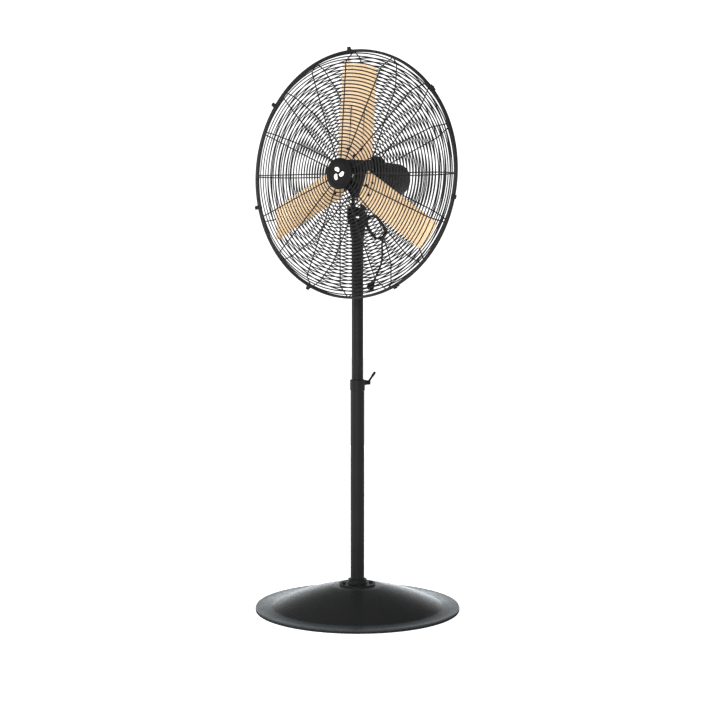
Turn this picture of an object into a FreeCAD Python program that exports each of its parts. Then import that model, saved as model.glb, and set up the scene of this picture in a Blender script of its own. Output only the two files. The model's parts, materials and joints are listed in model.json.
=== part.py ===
import FreeCAD, Part
import math
import os
import Sketcher

# Pedestal fan with a 762 mm rotor in an 840 mm wire cage, on a telescoping
# pole and a round pressed base.  The origin is on the floor, on the pole's
# axis.  +Z is up and the fan blows towards -Y.  All lengths are millimetres.

SIZES = {
    # base
    "flange_radius": 360, "flange_height": 12, "dome_radius": 306, "dome_height": 84,
    "dome_flat_radius": 85, "dome_arc_radius": 940, "pan_sheet": 2, "lip_bottom": 2,
    "trim_height": 7, "trim_inner_radius": 350, "ballast_radius": 100, "ballast_thick": 30,
    "collar_radius": 64, "collar_thick": 7, "collar_hub_radius": 33, "collar_hub_top": 106,
    "collar_bolt_circle": 48, "collar_bolt_radius": 4, "backing_radius": 78, "backing_thick": 5,
    # pole
    "lower_tube_radius": 24.5, "tube_wall": 1.5, "lower_tube_bottom": 47, "lower_tube_top": 786,
    "upper_tube_radius": 20.5, "upper_tube_bottom": 530, "upper_tube_top": 1358,
    "slide_gap": 0.05, "guide_length": 30, "bushing_length": 40, "bushing_lip": 3,
    # height lock
    "clamp_radius": 26.5, "clamp_bottom": 776, "clamp_top": 815, "lock_height": 803,
    "lock_angle": 60, "lock_boss_radius": 9.5, "lock_boss_end": 31, "lock_screw_radius": 4,
    "lock_screw_start": 20.8, "lock_screw_end": 41, "lock_handle_radius": 3.6,
    "lock_handle_length": 27, "lock_grip_radius": 4.6, "lock_grip_length": 18,
    # pole head and tilt joint
    "socket_bottom": 1316, "socket_bottom_radius": 23.5, "socket_top_radius": 29,
    "yoke_floor_bottom": 1360, "yoke_floor_top": 1378, "yoke_half_width": 28, "ear_thick": 7,
    "yoke_half_depth": 20, "pivot_height": 1403, "tilt_bolt_radius": 5, "running_gap": 0.06,
    "web_half_width": 20.7, "web_thick": 4, "web_end_radius": 16, "web_neck_half": 8,
    "plate_bottom": 1452, "plate_thick": 5,
    "plate_end": 112, "plate_half_depth": 20, "wing_span": 23, "wing_height": 14,
    "swivel_screw_height": 1338, "swivel_screw_radius": 4, "swivel_screw_end": 52,
    # fan axis
    "axis_x": 71, "axis_height": 1520, "rim_y": -134,
    # motor, as depths behind the rim plane
    "motor_radius": 57, "motor_wall": 3, "motor_front": 92, "housing_front": 112,
    "housing_back": 210, "shield_back": 230, "cover_edge": 272, "cover_back": 292,
    "shaft_radius": 7, "shaft_front": -4, "shaft_back": 226, "bearing_radius": 16,
    "bearing_width": 10, "front_bearing_front": 98, "rear_bearing_front": 214,
    "core_front": 128, "core_length": 52, "rotor_radius": 33.2, "stator_inner_radius": 34,
    "winding_length": 9,
    # rotor
    "blade_root": 52, "blade_tip": 387, "blade_tip_trailing": 362, "blade_lead": 56,
    "blade_trail": 66, "blade_sheet": 1.8, "blade_camber_radius": 240, "blade_pitch": 17,
    "blade_depth": 12, "blade_corner": 14, "blade_angle": -3.7, "spider_depth": 24,
    "spider_sheet": 3, "spider_radius": 76, "hub_radius": 20, "hub_front": 4, "hub_length": 46,
    "rivet_radius": 4,
    # cage
    "rim_radius": 420, "rim_wire": 4.5, "rim_spacing": 4.6, "ring_wire": 1.1, "spoke_wire": 2,
    "ring_pitch": 11.8, "front_ring_start": 64, "rear_ring_start": 78, "badge_radius": 52.5,
    "badge_depth": -72, "badge_thick": 7, "rear_plate_radius": 70, "rear_plate_depth": 88,
    "rear_plate_thick": 4,
    # cord
    "cord_radius": 3.5,
}
SPOKE_COUNT = 16
CLIP_COUNT = 7
FIRST_CLIP_ANGLE = 39.0
FRONT_SPOKE_TURN = -1.9
REAR_SPOKE_TURN = -1.7


class Size:
    """A length that carries its value and the sheet expression that gives it."""

    def __init__(self, value, text):
        self.value = float(value)
        self.text = text

    def _join(self, other, sign, value):
        other_text = other.text if isinstance(other, Size) else "%g" % other
        return Size(value, "(%s %s %s)" % (self.text, sign, other_text))

    def __add__(self, other):
        return self._join(other, "+", self.value + plain(other))

    def __sub__(self, other):
        return self._join(other, "-", self.value - plain(other))

    def __mul__(self, other):
        return self._join(other, "*", self.value * plain(other))

    def __neg__(self):
        return Size(-self.value, "(0 - %s)" % self.text)


def plain(size):
    return size.value if isinstance(size, Size) else float(size)


class Sheet:
    """The driving dimensions: plain numbers in a spreadsheet, read by alias."""

    def __init__(self, document, values):
        sheet = document.addObject("Spreadsheet::Sheet", "Sizes")
        for row, (alias, value) in enumerate(values.items(), start=1):
            sheet.set("A%d" % row, alias)
            sheet.set("B%d" % row, "%g" % value)
            sheet.setAlias("B%d" % row, alias)
        document.recompute()
        self.sizes = {alias: Size(value, "Sizes." + alias) for alias, value in values.items()}

    def __getattr__(self, alias):
        return self.sizes[alias]


doc = FreeCAD.newDocument("PedestalFan")
S = Sheet(doc, SIZES)
NODES = []
ORIGIN = (0, 0, 0)
X_AXIS = FreeCAD.Vector(1, 0, 0)
Y_AXIS = FreeCAD.Vector(0, 1, 0)
Z_AXIS = FreeCAD.Vector(0, 0, 1)


# ---------------------------------------------------------------- helpers

def vector(x, y, z):
    return FreeCAD.Vector(plain(x), plain(y), plain(z))


def bind(thing, prop, size):
    """Set a property from a size, bound to the sheet when the size is one."""
    if isinstance(size, Size):
        thing.setExpression(prop, size.text)
    else:
        setattr(thing, prop, size)


def place(thing, base, rotation=None):
    """Put an object at base, each coordinate bound to the sheet, after an optional turn."""
    spin = rotation if rotation is not None else FreeCAD.Rotation()
    thing.Placement = FreeCAD.Placement(vector(*base), spin)
    for letter, size in zip("xyz", base):
        if isinstance(size, Size):
            thing.setExpression("Placement.Base." + letter, size.text)
    return thing


def node(thing, name):
    """Name a finished sub-part and keep it for export."""
    thing.Label = name
    NODES.append(thing)
    return thing


def cylinder(radius, height, base=ORIGIN, rotation=None):
    thing = doc.addObject("Part::Cylinder", "Cylinder")
    bind(thing, "Radius", radius)
    bind(thing, "Height", height)
    return place(thing, base, rotation)


def cone(radius_low, radius_high, height, base=ORIGIN, rotation=None):
    thing = doc.addObject("Part::Cone", "Cone")
    bind(thing, "Radius1", radius_low)
    bind(thing, "Radius2", radius_high)
    bind(thing, "Height", height)
    return place(thing, base, rotation)


def box(length, width, height, base=ORIGIN, rotation=None):
    thing = doc.addObject("Part::Box", "Box")
    bind(thing, "Length", length)
    bind(thing, "Width", width)
    bind(thing, "Height", height)
    return place(thing, base, rotation)


def hexagon(circumradius, height, base=ORIGIN, rotation=None):
    thing = doc.addObject("Part::Prism", "Prism")
    thing.Polygon = 6
    bind(thing, "Circumradius", circumradius)
    bind(thing, "Height", height)
    return place(thing, base, rotation)


def torus(ring_radius, wire_radius, base=ORIGIN, rotation=None):
    thing = doc.addObject("Part::Torus", "Torus")
    bind(thing, "Radius1", ring_radius)
    bind(thing, "Radius2", wire_radius)
    return place(thing, base, rotation)


def cut(base, tool):
    thing = doc.addObject("Part::Cut", "Cut")
    thing.Base = base
    thing.Tool = tool
    return thing


def common(base, tool):
    thing = doc.addObject("Part::Common", "Common")
    thing.Base = base
    thing.Tool = tool
    return thing


def fuse(*pieces):
    thing = doc.addObject("Part::MultiFuse", "Fusion")
    thing.Shapes = list(pieces)
    return thing


def group(pieces):
    """Identical loose pieces kept together as separate solids."""
    thing = doc.addObject("Part::Compound", "Group")
    thing.Links = list(pieces)
    return thing


def feature(shape, placement=None):
    thing = doc.addObject("Part::Feature", "Shape")
    thing.Shape = shape
    if placement is not None:
        thing.Placement = placement
    return thing


def turn(axis, angle):
    return FreeCAD.Rotation(axis, angle)


def origin_plane(body, role):
    return [item for item in body.Origin.OriginFeatures if item.Role == role][0]


def outline(body, plane, corners, arcs=None):
    """A closed sketch through corners (pairs of sizes).

    arcs maps a side's number to (radius, bulge side), +1 bulging to the left
    of the way the side runs and -1 to its right.
    """
    arcs = arcs or {}
    sketch = body.newObject("Sketcher::SketchObject", "Outline")
    sketch.AttachmentSupport = [(origin_plane(body, plane), "")]
    sketch.MapMode = "FlatFace"
    points = [FreeCAD.Vector(plain(x), plain(y), 0) for x, y in corners]
    count = len(points)
    for side in range(count):
        start, end = points[side], points[(side + 1) % count]
        if side in arcs:
            radius, bulge = arcs[side]
            half = (end - start).Length / 2
            rise = plain(radius) - math.sqrt(plain(radius) ** 2 - half ** 2)
            along = (end - start).normalize()
            left = FreeCAD.Vector(-along.y, along.x, 0)
            middle = (points[side] + points[(side + 1) % count]) * 0.5 + left * (rise * bulge)
            sketch.addGeometry(Part.Arc(start, middle, points[(side + 1) % count]), False)
        else:
            sketch.addGeometry(Part.LineSegment(start, end), False)

    def end_of(side, point):
        first = sketch.getPoint(side, 1)
        return 1 if first.distanceToPoint(point) < 1e-6 else 2

    for side in range(count):
        corner = points[(side + 1) % count]
        following = (side + 1) % count
        sketch.addConstraint(Sketcher.Constraint(
            "Coincident", side, end_of(side, corner), following, end_of(following, corner)))
    for side, (x, y) in enumerate(corners):
        spot = end_of(side, points[side])
        for kind, size, axis in (("DistanceX", x, -2), ("DistanceY", y, -1)):
            if abs(plain(size)) < 1e-9:
                sketch.addConstraint(Sketcher.Constraint("PointOnObject", side, spot, axis))
                continue
            number = sketch.addConstraint(Sketcher.Constraint(kind, side, spot, plain(size)))
            if isinstance(size, Size):
                sketch.setExpression("Constraints[%d]" % number, size.text)
    for side, (radius, bulge) in arcs.items():
        number = sketch.addConstraint(Sketcher.Constraint("Radius", side, plain(radius)))
        if isinstance(radius, Size):
            sketch.setExpression("Constraints[%d]" % number, radius.text)
    return sketch


def turned(corners, arcs=None, base=ORIGIN, rotation=None):
    """A body of revolution about its own Z axis from a radius-height outline."""
    body = doc.addObject("PartDesign::Body", "Turned")
    sketch = outline(body, "XZ_Plane", corners, arcs)
    revolution = body.newObject("PartDesign::Revolution", "Revolution")
    revolution.Profile = sketch
    revolution.ReferenceAxis = (sketch, ["V_Axis"])
    revolution.Angle = 360
    body.Tip = revolution
    return place(body, base, rotation)


def padded(corners, length, arcs=None, plane="XY_Plane", base=ORIGIN, rotation=None, middle=False):
    """A plate padded from an outline, to one side or about its middle."""
    body = doc.addObject("PartDesign::Body", "Padded")
    sketch = outline(body, plane, corners, arcs)
    pad = body.newObject("PartDesign::Pad", "Pad")
    pad.Profile = sketch
    bind(pad, "Length", length)
    pad.Midplane = middle
    body.Tip = pad
    return place(body, base, rotation)


def rounded(body, edge_test, radius):
    """Round the edges of a body's tip that pass the test."""
    doc.recompute()
    tip = body.Tip
    names = ["Edge%d" % (number + 1) for number, edge in enumerate(tip.Shape.Edges)
             if edge_test(edge)]
    fillet = body.newObject("PartDesign::Fillet", "Fillet")
    fillet.Base = (tip, names)
    bind(fillet, "Radius", radius)
    body.Tip = fillet
    return body


FAN_TURN = turn(X_AXIS, -90)


def fan_base(depth=0):
    """A point on the fan's axis, at a depth behind the rim plane."""
    return (S.axis_x, S.rim_y + depth, S.axis_height)


def on_fan(thing, depth=0):
    """Stand a piece on the fan's axis, with its own +Z pointing to the back."""
    return place(thing, fan_base(depth), FAN_TURN)


def around_fan(angle):
    """The fan's placement with a turn about its axis, seen from the front, from the right."""
    return FAN_TURN.multiply(turn(Z_AXIS, -angle))


# ---------------------------------------------------------------- base

def base_pan():
    top = S.dome_height
    sheet = S.pan_sheet
    corners = [
        (S.lower_tube_radius + 0.3, top), (S.lower_tube_radius + 0.3, top - sheet),
        (S.dome_flat_radius, top - sheet), (S.dome_radius - sheet, S.flange_height - sheet),
        (S.flange_radius - sheet, S.flange_height - sheet),
        (S.flange_radius - sheet, S.lip_bottom), (S.flange_radius, S.lip_bottom),
        (S.flange_radius, S.flange_height), (S.dome_radius, S.flange_height),
        (S.dome_flat_radius, top),
    ]
    arcs = {2: (S.dome_arc_radius - sheet, 1), 8: (S.dome_arc_radius, -1)}
    pan = turned(corners, arcs)
    for hole in collar_bolt_holes():
        pan = cut(pan, hole)
    return node(pan, "base_pan")


def collar_bolt_places():
    quarter = math.sqrt(0.5)
    spots = []
    for sign_x in (1, -1):
        for sign_y in (1, -1):
            spots.append((S.collar_bolt_circle * (sign_x * quarter),
                          S.collar_bolt_circle * (sign_y * quarter)))
    return spots


def collar_bolt_holes():
    low = S.dome_height - S.backing_thick - 25
    return [cylinder(S.collar_bolt_radius, 60, (x, y, low)) for x, y in collar_bolt_places()]


def base_edge_trim():
    inner = S.flange_radius - S.pan_sheet
    corners = [
        (S.trim_inner_radius, 0), (S.flange_radius + 1.5, 0),
        (S.flange_radius + 1.5, S.trim_height), (S.flange_radius, S.trim_height),
        (S.flange_radius, S.lip_bottom), (inner, S.lip_bottom), (inner, S.trim_height),
        (S.trim_inner_radius, S.trim_height),
    ]
    return node(turned(corners), "base_edge_trim")


def base_ballast():
    """Cast weight hung under the dome's backing plate, round the foot of the tube."""
    bottom = S.dome_height - S.pan_sheet - S.backing_thick - S.ballast_thick
    disc = cylinder(S.ballast_radius, S.ballast_thick, (0, 0, bottom))
    bore = cylinder(S.lower_tube_radius + 0.3, S.ballast_thick, (0, 0, bottom))
    weight = cut(disc, bore)
    for hole in collar_bolt_holes():
        weight = cut(weight, hole)
    return node(weight, "base_ballast")


def base_backing_plate():
    low = S.dome_height - S.pan_sheet - S.backing_thick
    plate = cut(cylinder(S.backing_radius, S.backing_thick, (0, 0, low)),
                cylinder(S.lower_tube_radius + 0.3, 40, (0, 0, low - 10)))
    for hole in collar_bolt_holes():
        plate = cut(plate, hole)
    return node(plate, "base_backing_plate")


def base_collar():
    low = S.dome_height
    corners = [
        (S.lower_tube_radius, low), (S.collar_radius, low),
        (S.collar_radius, low + S.collar_thick), (S.collar_hub_radius + 4, low + S.collar_thick),
        (S.collar_hub_radius, low + S.collar_thick + 6), (S.collar_hub_radius, S.collar_hub_top),
        (S.lower_tube_radius, S.collar_hub_top),
    ]
    collar = turned(corners)
    for hole in collar_bolt_holes():
        collar = cut(collar, hole)
    screw_hole = cylinder(SET_SCREW_RADIUS, S.collar_radius, (0, 0, set_screw_height()), turn(Y_AXIS, -90))
    return node(cut(collar, screw_hole), "base_collar")


SET_SCREW_RADIUS = 3.0


def set_screw_height():
    return S.collar_hub_top - 4.5


def collar_set_screw():
    reach = S.lower_tube_radius
    screw = cylinder(SET_SCREW_RADIUS, 12, (-reach, 0, set_screw_height()), turn(Y_AXIS, -90))
    return node(screw, "collar_set_screw")


def collar_bolts():
    under_head = S.dome_height + S.collar_thick
    length = S.collar_thick + S.pan_sheet + S.backing_thick + 15
    bolts = []
    for x, y in collar_bolt_places():
        shank = cylinder(S.collar_bolt_radius, length, (x, y, under_head - length))
        head = hexagon(S.collar_bolt_radius * 1.9, 5, (x, y, under_head))
        bolts.append(fuse(shank, head))
    return node(group(bolts), "collar_bolts")


# ---------------------------------------------------------------- pole

def lower_tube():
    length = S.lower_tube_top - S.lower_tube_bottom
    outer = cylinder(S.lower_tube_radius, length, (0, 0, S.lower_tube_bottom))
    inner = cylinder(S.lower_tube_radius - S.tube_wall, length, (0, 0, S.lower_tube_bottom))
    return node(cut(outer, inner), "lower_tube")


def upper_tube():
    length = S.upper_tube_top - S.upper_tube_bottom
    outer = cylinder(S.upper_tube_radius, length, (0, 0, S.upper_tube_bottom))
    inner = cylinder(S.upper_tube_radius - S.tube_wall, length, (0, 0, S.upper_tube_bottom))
    return node(cut(outer, inner), "upper_tube")


def upper_tube_guide():
    inner = S.upper_tube_radius - S.tube_wall
    outer = S.lower_tube_radius - S.tube_wall - S.slide_gap
    foot = S.upper_tube_bottom - 4
    corners = [
        (0, foot), (outer, foot), (outer, S.upper_tube_bottom), (inner, S.upper_tube_bottom),
        (inner, S.upper_tube_bottom + S.guide_length), (0, S.upper_tube_bottom + S.guide_length),
    ]
    return node(turned(corners), "upper_tube_guide")


def clamp_bushing():
    bore = S.upper_tube_radius + S.slide_gap
    seat = S.lower_tube_radius - S.tube_wall
    top = S.lower_tube_top
    corners = [
        (bore, top - S.bushing_length), (seat, top - S.bushing_length), (seat, top),
        (S.lower_tube_radius, top), (S.lower_tube_radius, top + S.bushing_lip),
        (bore, top + S.bushing_lip),
    ]
    return node(turned(corners), "clamp_bushing")


def lock_turn():
    """Turns +Z to the outward direction of the height lock's screw."""
    return turn(Z_AXIS, plain(S.lock_angle)).multiply(turn(Y_AXIS, 90))


def clamp_collar():
    lip_top = S.lower_tube_top + S.bushing_lip
    neck = S.upper_tube_radius + 0.35
    corners = [
        (S.lower_tube_radius, S.clamp_bottom), (S.clamp_radius - 1.5, S.clamp_bottom),
        (S.clamp_radius, S.clamp_bottom + 1.5), (S.clamp_radius, S.clamp_top - 3),
        (S.clamp_radius - 3, S.clamp_top), (neck, S.clamp_top), (neck, lip_top),
        (S.lower_tube_radius, lip_top),
    ]
    ring = turned(corners)
    boss = cylinder(S.lock_boss_radius, S.lock_boss_end, (0, 0, S.lock_height), lock_turn())
    core = cylinder(S.upper_tube_radius + 4, 80, (0, 0, S.clamp_bottom - 10))
    hole = cylinder(S.lock_screw_radius + S.running_gap, 80, (0, 0, S.lock_height), lock_turn())
    return node(cut(fuse(ring, cut(boss, core)), hole), "clamp_collar")


def along_lock(distance, up=0):
    """A point out along the height lock's screw."""
    angle = math.radians(plain(S.lock_angle))
    return (distance * math.cos(angle), distance * math.sin(angle), S.lock_height + up)


def lock_screw():
    length = S.lock_screw_end - S.lock_screw_start
    shank = cylinder(S.lock_screw_radius, length, along_lock(S.lock_screw_start), lock_turn())
    washer = cylinder(9, 2, along_lock(S.lock_boss_end + 0.3), lock_turn())
    return node(fuse(shank, washer), "lock_screw")


HANDLE_LEAN = 37.0


def lock_handle_turn():
    return turn(Z_AXIS, plain(S.lock_angle)).multiply(turn(Y_AXIS, HANDLE_LEAN))


def lock_handle():
    """L-shaped handle: a hub on the screw, a leaning arm and its thicker grip."""
    spot = along_lock(S.lock_screw_end)
    hub_start = along_lock(S.lock_boss_end + 2.3)
    hub = cylinder(8, S.lock_screw_end - S.lock_boss_end + 4, hub_start, lock_turn())
    bore_start = along_lock(S.lock_screw_start)
    bore = cylinder(S.lock_screw_radius, S.lock_screw_end - S.lock_screw_start,
                    bore_start, lock_turn())
    arm = cylinder(S.lock_handle_radius, S.lock_handle_length, spot, lock_handle_turn())
    length = S.lock_handle_length
    outward = math.sin(math.radians(HANDLE_LEAN))
    upward = math.cos(math.radians(HANDLE_LEAN))
    grip_start = along_lock(S.lock_screw_end + length * outward, length * upward)
    grip = cylinder(S.lock_grip_radius, S.lock_grip_length, grip_start, lock_handle_turn())
    return node(cut(fuse(hub, arm, grip), bore), "lock_handle")


# ---------------------------------------------------------------- pole head

def pole_head():
    socket_height = S.yoke_floor_bottom - S.socket_bottom
    socket = cone(S.socket_bottom_radius, S.socket_top_radius, socket_height,
                  (0, 0, S.socket_bottom))
    half = S.yoke_half_width
    deep = S.yoke_half_depth
    floor_height = S.yoke_floor_top - S.yoke_floor_bottom
    floor = box(half * 2, deep * 2, floor_height, (-half, -deep, S.yoke_floor_bottom))
    pieces = [socket, floor]
    ear_height = S.pivot_height - S.yoke_floor_bottom
    for start in (half - S.ear_thick, -half):
        pieces.append(box(S.ear_thick, deep * 2, ear_height, (start, -deep, S.yoke_floor_bottom)))
        pieces.append(cylinder(deep, S.ear_thick, (start, 0, S.pivot_height), turn(Y_AXIS, 90)))
    boss = cylinder(8, 32, (0, 0, S.swivel_screw_height), turn(X_AXIS, -90))
    pieces.append(boss)
    body = fuse(*pieces)
    bore_height = S.upper_tube_top - S.socket_bottom
    body = cut(body, cylinder(S.upper_tube_radius + S.slide_gap, bore_height,
                              (0, 0, S.socket_bottom)))
    body = cut(body, cylinder(S.tilt_bolt_radius, half * 2, (-half, 0, S.pivot_height),
                              turn(Y_AXIS, 90)))
    body = cut(body, cylinder(S.swivel_screw_radius + S.running_gap, 60,
                              (0, 0, S.swivel_screw_height), turn(X_AXIS, -90)))
    return node(body, "pole_head")


def wings(centre, axis_turn, span, height):
    """Two thin ears either side of a wing nut's hub, about its own Z axis."""
    blade = box(span * 2, 4, height, ORIGIN)
    blade.Placement = FreeCAD.Placement(vector(*centre), axis_turn).multiply(
        FreeCAD.Placement(vector(-span, -2, 3), FreeCAD.Rotation()))
    return blade


def swivel_screw():
    """Wing screw that clamps the pole head to the tube."""
    start = (0, S.upper_tube_radius + 0.3, S.swivel_screw_height)
    length = S.swivel_screw_end - S.upper_tube_radius - 0.3
    shank = cylinder(S.swivel_screw_radius, length, start, turn(X_AXIS, -90))
    wing_start = (0, 33.0, S.swivel_screw_height)
    hub = cylinder(8, S.swivel_screw_end - 33.0, wing_start, turn(X_AXIS, -90))
    blade = wings(wing_start, turn(X_AXIS, -90), plain(S.wing_span) - 3, plain(S.wing_height))
    return node(fuse(shank, hub, blade), "swivel_screw")


TILT_BOLT_END = -48.0


def tilt_bolt():
    half = S.yoke_half_width
    head = hexagon(9, 6, (half, 0, S.pivot_height), turn(Y_AXIS, 90))
    shank = cylinder(S.tilt_bolt_radius, half - TILT_BOLT_END, (TILT_BOLT_END, 0, S.pivot_height),
                     turn(Y_AXIS, 90))
    return node(fuse(head, shank), "tilt_bolt")


def tilt_wing_nut():
    start = (-S.yoke_half_width - 0.1, 0, S.pivot_height)
    hub = cone(10, 8, 11, start, turn(Y_AXIS, -90))
    blade = wings(start, turn(Y_AXIS, -90), plain(S.wing_span), plain(S.wing_height))
    bore = cylinder(S.tilt_bolt_radius + S.running_gap, 30, start, turn(Y_AXIS, -90))
    return node(cut(fuse(hub, blade), bore), "tilt_wing_nut")


def tilt_bracket():
    web = S.web_half_width
    deep = S.plate_half_depth
    neck = S.web_neck_half
    plate = box(S.plate_end + web, deep * 2, S.plate_thick, (-web, -deep, S.plate_bottom))
    knuckle = cylinder(S.web_end_radius, web * 2, (-web, 0, S.pivot_height), turn(Y_AXIS, 90))
    pieces = [plate, knuckle]
    web_height = S.plate_bottom + S.plate_thick - S.pivot_height
    for start in (web - S.web_thick, -web):
        pieces.append(box(S.web_thick, neck * 2, web_height, (start, -neck, S.pivot_height)))
    body = fuse(*pieces)
    bore = cylinder(S.tilt_bolt_radius + S.running_gap, web * 2, (-web, 0, S.pivot_height),
                    turn(Y_AXIS, 90))
    body = cut(body, bore)
    for spot in mount_bolt_places():
        body = cut(body, cylinder(MOUNT_BOLT_RADIUS, 20, (spot[0], spot[1], S.plate_bottom - 5)))
    return node(body, "tilt_bracket")


MOUNT_BOLT_X = 28.0
MOUNT_BOLT_Y = 12.0
MOUNT_BOLT_RADIUS = 3.0


def mount_bolt_places():
    return [(S.axis_x + side * MOUNT_BOLT_X, end * MOUNT_BOLT_Y)
            for side in (1, -1) for end in (1, -1)]


def motor_foot():
    """Cast cradle between the bracket's plate and the motor's belly."""
    low = S.plate_bottom + S.plate_thick
    block = box(80, S.plate_half_depth * 2 - 4, 36, (S.axis_x - 40, -S.plate_half_depth + 2, low))
    barrel = cylinder(S.motor_radius, 80, (S.axis_x, -40, S.axis_height), FAN_TURN)
    body = cut(block, barrel)
    foot = cut(body, box(100, 80, 40, (S.axis_x - 50, -40, low + 20)))
    for spot in mount_bolt_places():
        foot = cut(foot, cylinder(MOUNT_BOLT_RADIUS, 60, (spot[0], spot[1], low)))
    return node(foot, "motor_foot")


def mount_bolts():
    bolts = []
    for x, y in mount_bolt_places():
        head = hexagon(5.5, 4, (x, y, S.plate_bottom - 4))
        shank = cylinder(MOUNT_BOLT_RADIUS, S.plate_thick + 9, (x, y, S.plate_bottom))
        bolts.append(fuse(head, shank))
    return node(group(bolts), "mount_bolts")


# ---------------------------------------------------------------- motor

def motor_housing():
    length = S.housing_back - S.housing_front
    outer = on_fan(cylinder(S.motor_radius, length), S.housing_front)
    inner = on_fan(cylinder(S.motor_radius - S.motor_wall, length), S.housing_front)
    return node(cut(outer, inner), "motor_housing")


def motor_front_shield():
    front = S.motor_front
    seat = S.front_bearing_front
    corners = [
        (S.shaft_radius + 0.5, front), (S.motor_radius - 7, front), (S.motor_radius, front + 7),
        (S.motor_radius, S.housing_front), (S.motor_radius - 5, S.housing_front),
        (S.motor_radius - 5, front + 10), (S.bearing_radius + 4, front + 10),
        (S.bearing_radius + 4, seat + S.bearing_width), (S.bearing_radius, seat + S.bearing_width),
        (S.bearing_radius, seat), (S.shaft_radius + 0.5, seat),
    ]
    return node(on_fan(turned(corners)), "motor_front_shield")


def motor_rear_shield():
    back = S.shield_back
    seat = S.rear_bearing_front
    corners = [
        (S.shaft_radius + 0.5, back), (S.motor_radius, back), (S.motor_radius, S.housing_back),
        (S.motor_radius - 5, S.housing_back), (S.motor_radius - 5, back - 8),
        (S.bearing_radius + 4, back - 8), (S.bearing_radius + 4, seat), (S.bearing_radius, seat),
        (S.bearing_radius, seat + S.bearing_width), (S.shaft_radius + 0.5, seat + S.bearing_width),
    ]
    return node(on_fan(turned(corners)), "motor_rear_shield")


COVER_WALL = 2.5
COVER_SHOULDER = 40.0
COVER_HOLE = 3.5


def motor_rear_cover():
    wall = COVER_WALL
    shoulder = COVER_SHOULDER
    outer = S.motor_radius
    hole = COVER_HOLE
    corners = [
        (hole, S.cover_back), (shoulder, S.cover_back), (outer, S.cover_edge),
        (outer, S.shield_back), (outer - wall, S.shield_back), (outer - wall, S.cover_edge),
        (shoulder - 1, S.cover_back - wall), (hole, S.cover_back - wall),
    ]
    arcs = {1: (24, 1), 5: (22, -1)}
    return node(on_fan(turned(corners, arcs)), "motor_rear_cover")


def bearing(depth):
    outer = on_fan(cylinder(S.bearing_radius, S.bearing_width), depth)
    inner = on_fan(cylinder(S.shaft_radius + 0.02, S.bearing_width), depth)
    return cut(outer, inner)


def motor_bearings():
    pair = [bearing(S.front_bearing_front), bearing(S.rear_bearing_front)]
    return node(group(pair), "motor_bearings")


def stator_core():
    outer = on_fan(cylinder(S.motor_radius - S.motor_wall, S.core_length), S.core_front)
    inner = on_fan(cylinder(S.stator_inner_radius, S.core_length), S.core_front)
    return node(cut(outer, inner), "stator_core")


def stator_windings():
    rings = []
    for depth in (S.core_front - S.winding_length, S.core_front + S.core_length):
        outer = on_fan(cylinder(S.motor_radius - 9, S.winding_length), depth)
        inner = on_fan(cylinder(S.stator_inner_radius + 3, S.winding_length), depth)
        rings.append(cut(outer, inner))
    return node(group(rings), "stator_windings")


BOX_FRONT = 104.0
BOX_LENGTH = 56.0
BOX_TOP = 73.0
BOX_BASE_HALF = 31.0
BOX_TOP_HALF = 13.0


def terminal_box():
    """Capacitor and terminal box on the motor's back, hollow, with a wedge-shaped section."""
    low = 44.0
    corners = [(-BOX_BASE_HALF, -low), (-BOX_TOP_HALF, -BOX_TOP), (BOX_TOP_HALF, -BOX_TOP),
               (BOX_BASE_HALF, -low)]
    shell = on_fan(padded(corners, BOX_LENGTH), BOX_FRONT)
    hollow = on_fan(cylinder(S.motor_radius, BOX_LENGTH), BOX_FRONT)
    cavity = place(box(22, BOX_LENGTH - 6, 12),
                   (S.axis_x - 11, S.rim_y + BOX_FRONT + 3, S.axis_height + 57.2))
    return node(cut(cut(shell, hollow), cavity), "terminal_box")


def run_capacitor():
    body = box(20, BOX_LENGTH - 16, 10.5,
               (S.axis_x - 10, S.rim_y + BOX_FRONT + 8, S.axis_height + 57.6))
    return node(body, "run_capacitor")


def speed_switch():
    body = on_fan(cylinder(15, 18), S.cover_back - 20.5)
    hole = on_fan(cylinder(3 + 0.06, 18), S.cover_back - 20.5)
    return node(cut(body, hole), "speed_switch")


def speed_knob():
    stem = on_fan(cylinder(3, 24), S.cover_back - 16)
    cap = on_fan(cone(15, 12.5, 13), S.cover_back + 1)
    pointer = on_fan(box(2.5, 13, 2), S.cover_back + 14)
    pointer.Placement = FreeCAD.Placement(
        vector(S.axis_x - 1.25, S.rim_y + S.cover_back + 14, S.axis_height + 12), FAN_TURN)
    return node(fuse(stem, cap, pointer), "speed_knob")


# ---------------------------------------------------------------- rotor

def rotor_shaft():
    length = S.shaft_back - S.shaft_front
    return node(on_fan(cylinder(S.shaft_radius, length), S.shaft_front), "rotor_shaft")


def rotor_core():
    outer = on_fan(cylinder(S.rotor_radius, S.core_length), S.core_front)
    inner = on_fan(cylinder(S.shaft_radius, S.core_length), S.core_front)
    return node(cut(outer, inner), "rotor_core")


def blade_place(index):
    """The frame of a blade: +X outward along it, +Z to the back."""
    angle = 90 + 120 * index + plain(S.blade_angle)
    middle = FreeCAD.Placement(vector(*fan_base(S.blade_depth)), around_fan(angle))
    pitch = FreeCAD.Placement(FreeCAD.Vector(), turn(X_AXIS, plain(S.blade_pitch)))
    return middle.multiply(pitch)


def camber_shell(inner_radius, thick, length):
    """A wide thin tube wall along +X whose crest touches the blade's own plane."""
    turn_x = turn(Y_AXIS, 90)
    outer = cylinder(inner_radius + thick, length, (0, 0, -inner_radius), turn_x)
    inner = cylinder(inner_radius, length, (0, 0, -inner_radius), turn_x)
    return cut(outer, inner)


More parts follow.
